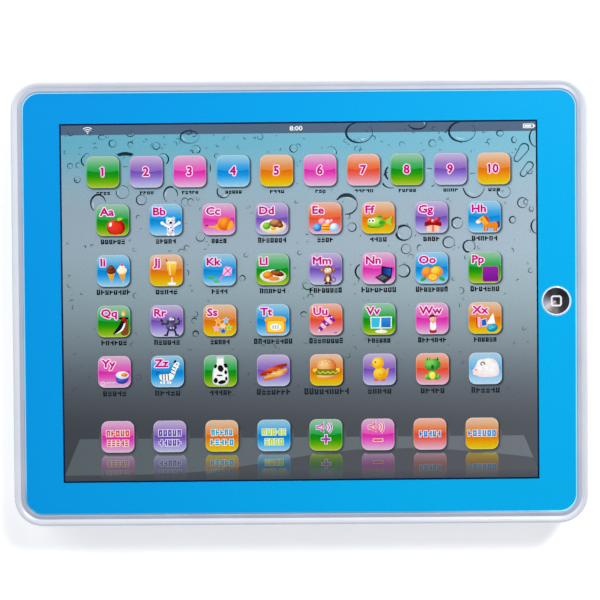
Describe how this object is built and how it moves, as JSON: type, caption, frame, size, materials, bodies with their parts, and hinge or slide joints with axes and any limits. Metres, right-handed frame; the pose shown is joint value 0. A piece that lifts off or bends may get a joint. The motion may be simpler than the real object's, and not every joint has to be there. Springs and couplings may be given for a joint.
{
  "type": "toy learning tablet",
  "caption": "Toy learning tablet with a printed touch-key face, a sprung round home button, a speaker and a hinged battery door in the back.",
  "frame": {"origin": "centre of the case's footprint, on the plane that the back rests on", "axes": "+X to the right of the face, towards the home button; +Y to the face's top edge, where the status bar is; +Z out of the face"},
  "size_m": [0.24, 0.1854, 0.023],
  "materials": {
    "white_shell": "satin white moulding",
    "grey_frame": "satin light grey moulding",
    "printed_film": "glossy printed film",
    "clear_sheet": "thin polyester sheet",
    "ivory_plastic": "satin",
    "circuit_board": "green solder mask",
    "black_resin": "poured resin",
    "capacitor_sleeve": "shrink sleeve",
    "resistor_body": "lacquer",
    "steel_screw": "bright zinc plating",
    "bright_ring": "bright plated ring",
    "dark_button": "dark spun-metal effect",
    "black_plastic": "satin",
    "speaker_steel": "zinc plated",
    "speaker_paper": "pressed paper",
    "contact_metal": "nickel plated",
    "cell_sleeve": "printed sleeve",
    "red_lead": "PVC insulation",
    "black_lead": "PVC insulation",
    "grey_lead": "PVC insulation",
    "yellow_lead": "PVC insulation"
  },
  "bodies": {
    "case": {"rear_cover": "white_shell", "front_frame": "grey_frame", "face_film": "printed_film", "membrane_top_sheet": "clear_sheet", "membrane_spacer": "clear_sheet", "membrane_bottom_sheet": "clear_sheet", "membrane_tail": "clear_sheet", "tail_connector": "ivory_plastic", "main_board": "circuit_board", "sound_chip": "black_resin", "capacitors": "capacitor_sleeve", "resistors": "resistor_body", "board_screws": "steel_screw", "home_ring": "bright_ring", "home_switch": "black_plastic", "home_switch_board": "circuit_board", "home_board_screws": "steel_screw", "speaker_frame": "speaker_steel", "speaker_cone": "speaker_paper", "speaker_magnet": "speaker_steel", "speaker_clamps": "steel_screw", "speaker_screws": "steel_screw", "battery_contacts": "contact_metal", "battery_springs": "contact_metal", "battery_cell_1": "cell_sleeve", "battery_cell_2": "cell_sleeve", "battery_cell_3": "cell_sleeve", "case_screws": "steel_screw", "battery_lead_red": "red_lead", "battery_lead_black": "black_lead", "speaker_leads": "grey_lead", "home_switch_leads": "yellow_lead"},
    "home_button": {"home_button": "dark_button", "home_plunger": "black_plastic"},
    "battery_door": {"battery_door": "white_shell"},
    "battery_door_screw": {"battery_door_screw": "steel_screw"}
  },
  "joints": [
    {"name": "home_press", "type": "slide", "parent": "case", "child": "home_button", "axis": [0, 0, -1], "range_m": [0, 0.0005], "stiffness_N_per_m": 2400},
    {"name": "door_swing", "type": "hinge", "parent": "case", "child": "battery_door", "pos_m": [0, -0.0627, 0.00125], "axis": [-1, 0, 0], "range_deg": [0, 75]},
    {"name": "door_screw_turn", "type": "hinge", "parent": "battery_door", "child": "battery_door_screw", "pos_m": [0, -0.0085, 0.00135], "axis": [0, 0, 1], "continuous": true}
  ]
}
